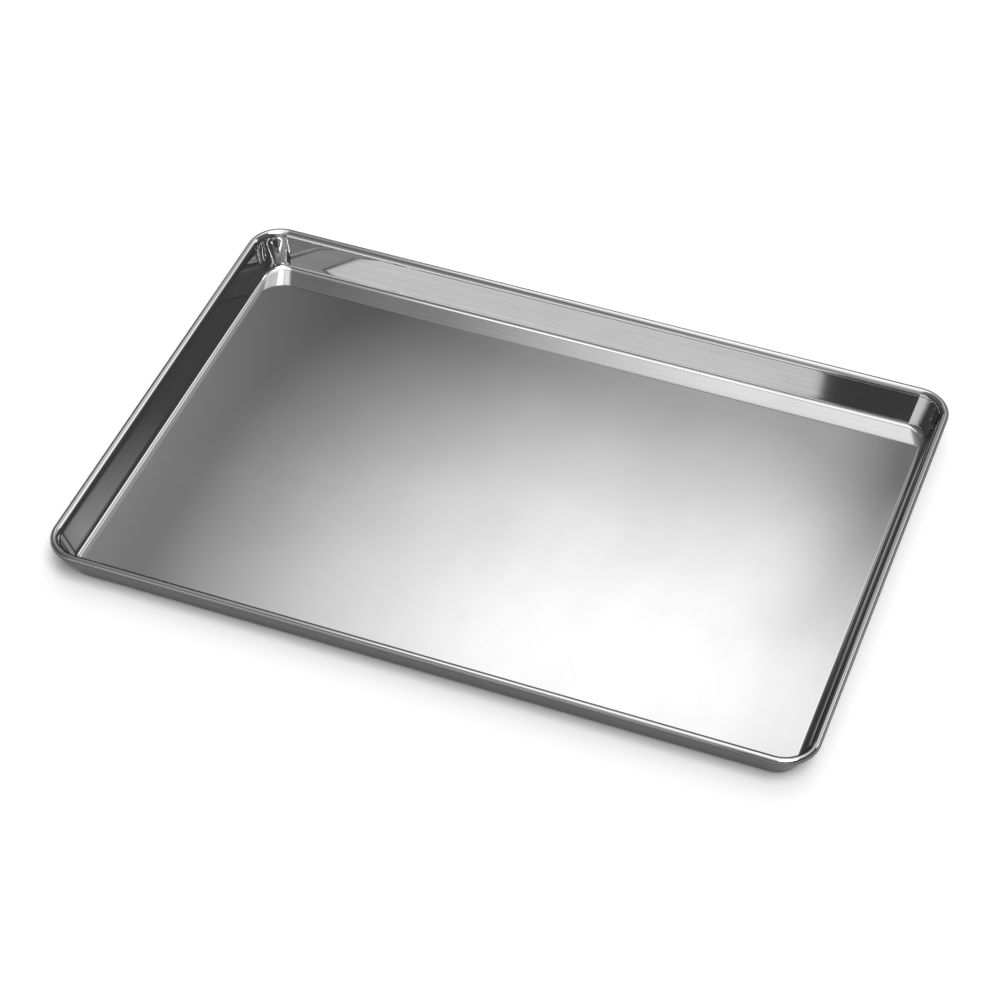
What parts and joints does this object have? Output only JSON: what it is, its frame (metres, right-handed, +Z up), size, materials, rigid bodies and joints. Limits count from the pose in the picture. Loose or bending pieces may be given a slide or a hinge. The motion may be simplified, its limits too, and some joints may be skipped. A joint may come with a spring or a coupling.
{
  "type": "sheet pan",
  "caption": "Shallow rectangular baking tray pressed from one steel sheet, with a flat floor, sloping walls, round corners and a rim curled outwards over a stiffening wire.",
  "frame": {"origin": "middle of the underside of the floor, on the surface that the pan stands on", "axes": "+X along the long side, +Y to the back long side, +Z up out of the tray"},
  "size_m": [0.46, 0.318, 0.024],
  "materials": {
    "pan_steel": "bright, lightly rolled stainless sheet, near mirror on the walls and rim and softer on the floor",
    "wire_steel": "dull zinc-coated wire"
  },
  "bodies": {
    "root": {"pan_body": "pan_steel", "rim_wire": "wire_steel"}
  },
  "joints": []
}
